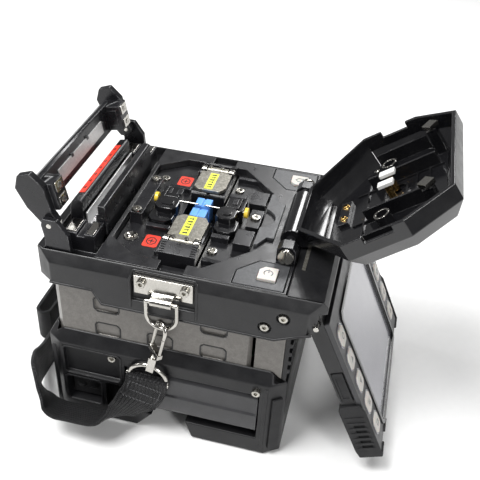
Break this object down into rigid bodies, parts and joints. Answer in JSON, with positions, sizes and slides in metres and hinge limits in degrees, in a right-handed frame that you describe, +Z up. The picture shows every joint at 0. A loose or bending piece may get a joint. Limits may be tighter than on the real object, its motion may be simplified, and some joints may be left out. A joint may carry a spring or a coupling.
{
  "type": "fiber fusion splicer",
  "caption": "Portable fusion splicer with opening wind cover, sleeve heater, tilting monitor, sheath clamps and carrying strap.",
  "frame": {"origin": "middle of the housing's underside, on the table", "axes": "+X to the far side along the spliced fibre, -Y to the operator and the monitor, +Z up"},
  "size_m": [0.1804, 0.2499, 0.1928],
  "materials": {
    "shell_black": "fine moulded texture",
    "bumper_black": "satin moulded",
    "panel_grey": "satin moulded",
    "belt_grey": "satin metallic lacquer",
    "gloss_black": "semi gloss",
    "deck_black": "satin",
    "plate_grey": "satin",
    "key_white": "satin silicone",
    "rubber_black": "matte",
    "steel": "polished nickel",
    "screw_steel": "machined",
    "alloy": "bead blasted",
    "block_black": "black anodised",
    "ceramic_blue": "smooth",
    "white": "smooth",
    "screen": "matt screen behind glass",
    "board_green": "laminate",
    "webbing": "woven nylon",
    "heater_metal": "satin"
  },
  "bodies": {
    "housing": {"base_tub": "shell_black", "corner_guards": "rubber_black", "side_panels": "panel_grey", "battery_pack": "shell_black", "mid_shell": "belt_grey", "front_cheeks": "belt_grey", "front_panel": "shell_black", "top_bumper": "bumper_black", "deck_plate": "deck_black", "key_plates": "plate_grey", "splice_tray": "deck_black", "chassis_rail": "block_black", "v_grooves": "ceramic_blue", "lamp_covers": "gloss_black", "electrodes": "steel", "electrode_clamps": "block_black", "cover_seat": "alloy", "lens_barrels": "block_black", "main_board": "board_green", "case_screws": "screw_steel", "deck_screws": "screw_steel", "strap_brackets": "steel", "heater_tray": "block_black", "heater_channel": "heater_metal", "hinge_pins": "steel", "cover_shaft": "steel", "io_ports": "rubber_black", "strap_links": "steel", "snap_hooks": "steel", "strap_rings": "steel", "carry_strap": "webbing"},
    "gate_near": {"gate_near": "steel"},
    "gate_far": {"gate_far": "steel"},
    "power_key": {"power_key": "key_white"},
    "set_key": {"set_key": "key_white"},
    "cover": {"wind_cover": "gloss_black", "cover_liner": "gloss_black", "cover_fittings": "screw_steel"},
    "presser_near": {"presser_near": "white"},
    "presser_far": {"presser_far": "white"},
    "monitor": {"monitor_back": "bumper_black", "monitor_bezel": "panel_grey", "monitor_glass": "screen", "monitor_guards": "rubber_black"},
    "port_door": {"port_door": "rubber_black"},
    "sheath_block_near": {"sheath_block_near": "block_black"},
    "sheath_block_far": {"sheath_block_far": "block_black"},
    "sheath_lid_near": {"sheath_lid_near": "alloy"},
    "sheath_lid_far": {"sheath_lid_far": "alloy"},
    "heater_lid": {"heater_lid": "block_black"},
    "key_l1": {"key_l1": "key_white"},
    "key_l2": {"key_l2": "key_white"},
    "key_l3": {"key_l3": "key_white"},
    "key_l4": {"key_l4": "key_white"},
    "key_l5": {"key_l5": "key_white"},
    "key_r1": {"key_r1": "key_white"},
    "key_r2": {"key_r2": "key_white"},
    "key_r3": {"key_r3": "key_white"},
    "key_r4": {"key_r4": "key_white"},
    "key_r5": {"key_r5": "key_white"}
  },
  "joints": [
    {"name": "cover_hinge", "type": "hinge", "parent": "housing", "child": "cover", "pos_m": [0, -0.052, 0.13], "axis": [-1, 0, 0], "range_deg": [0, 142.8]},
    {"name": "presser_near_slide", "type": "slide", "parent": "cover", "child": "presser_near", "axis": [0, -0.6046, -0.7965], "range_m": [0, 0.0008], "stiffness_N_per_m": 300},
    {"name": "presser_far_slide", "type": "slide", "parent": "cover", "child": "presser_far", "axis": [0, -0.6046, -0.7965], "range_m": [0, 0.0008], "stiffness_N_per_m": 300},
    {"name": "heater_lid_hinge", "type": "hinge", "parent": "housing", "child": "heater_lid", "pos_m": [0, 0.0715, 0.1385], "axis": [1, 0, 0], "range_deg": [0, 102]},
    {"name": "monitor_hinge", "type": "hinge", "parent": "housing", "child": "monitor", "pos_m": [0, -0.075, 0.1085], "axis": [-1, 0, 0], "range_deg": [-25, 65]},
    {"name": "port_door_hinge", "type": "hinge", "parent": "monitor", "child": "port_door", "pos_m": [-0.0601, -0.09097, 0.06409], "axis": [0, -0.4226, -0.9063], "range_deg": [0, 80]},
    {"name": "key_l1_press", "type": "slide", "parent": "monitor", "child": "key_l1", "axis": [0, 0.9063, -0.4226], "range_m": [0, 0.0008], "stiffness_N_per_m": 400},
    {"name": "key_l2_press", "type": "slide", "parent": "monitor", "child": "key_l2", "axis": [0, 0.9063, -0.4226], "range_m": [0, 0.0008], "stiffness_N_per_m": 400},
    {"name": "key_l3_press", "type": "slide", "parent": "monitor", "child": "key_l3", "axis": [0, 0.9063, -0.4226], "range_m": [0, 0.0008], "stiffness_N_per_m": 400},
    {"name": "key_l4_press", "type": "slide", "parent": "monitor", "child": "key_l4", "axis": [0, 0.9063, -0.4226], "range_m": [0, 0.0008], "stiffness_N_per_m": 400},
    {"name": "key_l5_press", "type": "slide", "parent": "monitor", "child": "key_l5", "axis": [0, 0.9063, -0.4226], "range_m": [0, 0.0008], "stiffness_N_per_m": 400},
    {"name": "key_r1_press", "type": "slide", "parent": "monitor", "child": "key_r1", "axis": [0, 0.9063, -0.4226], "range_m": [0, 0.0008], "stiffness_N_per_m": 400},
    {"name": "key_r2_press", "type": "slide", "parent": "monitor", "child": "key_r2", "axis": [0, 0.9063, -0.4226], "range_m": [0, 0.0008], "stiffness_N_per_m": 400},
    {"name": "key_r3_press", "type": "slide", "parent": "monitor", "child": "key_r3", "axis": [0, 0.9063, -0.4226], "range_m": [0, 0.0008], "stiffness_N_per_m": 400},
    {"name": "key_r4_press", "type": "slide", "parent": "monitor", "child": "key_r4", "axis": [0, 0.9063, -0.4226], "range_m": [0, 0.0008], "stiffness_N_per_m": 400},
    {"name": "key_r5_press", "type": "slide", "parent": "monitor", "child": "key_r5", "axis": [0, 0.9063, -0.4226], "range_m": [0, 0.0008], "stiffness_N_per_m": 400},
    {"name": "power_key_press", "type": "slide", "parent": "housing", "child": "power_key", "axis": [0, 0, -1], "range_m": [0, 0.0008], "stiffness_N_per_m": 400},
    {"name": "set_key_press", "type": "slide", "parent": "housing", "child": "set_key", "axis": [0, 0, -1], "range_m": [0, 0.0008], "stiffness_N_per_m": 400},
    {"name": "sheath_block_near_feed", "type": "slide", "parent": "housing", "child": "sheath_block_near", "axis": [-1, 0, 0], "range_m": [0, 0.0015]},
    {"name": "sheath_lid_near_hinge", "type": "hinge", "parent": "sheath_block_near", "child": "sheath_lid_near", "pos_m": [-0.0382, 0.005, 0.128], "axis": [0, 1, 0], "range_deg": [-95, 0]},
    {"name": "sheath_block_far_feed", "type": "slide", "parent": "housing", "child": "sheath_block_far", "axis": [1, 0, 0], "range_m": [0, 0.0015]},
    {"name": "sheath_lid_far_hinge", "type": "hinge", "parent": "sheath_block_far", "child": "sheath_lid_far", "pos_m": [0.0382, 0.005, 0.128], "axis": [0, -1, 0], "range_deg": [-95, 0]},
    {"name": "gate_near_hinge", "type": "hinge", "parent": "housing", "child": "gate_near", "pos_m": [-0.07145, 0.00715, 0.07407], "axis": [-0.7071, 0.6917, 0.147], "range_deg": [0, 15], "stiffness_Nm_per_rad": 0.02},
    {"name": "gate_far_hinge", "type": "hinge", "parent": "housing", "child": "gate_far", "pos_m": [0.07145, 0.00715, 0.07407], "axis": [-0.7071, -0.6917, -0.147], "range_deg": [0, 15], "stiffness_Nm_per_rad": 0.02}
  ]
}
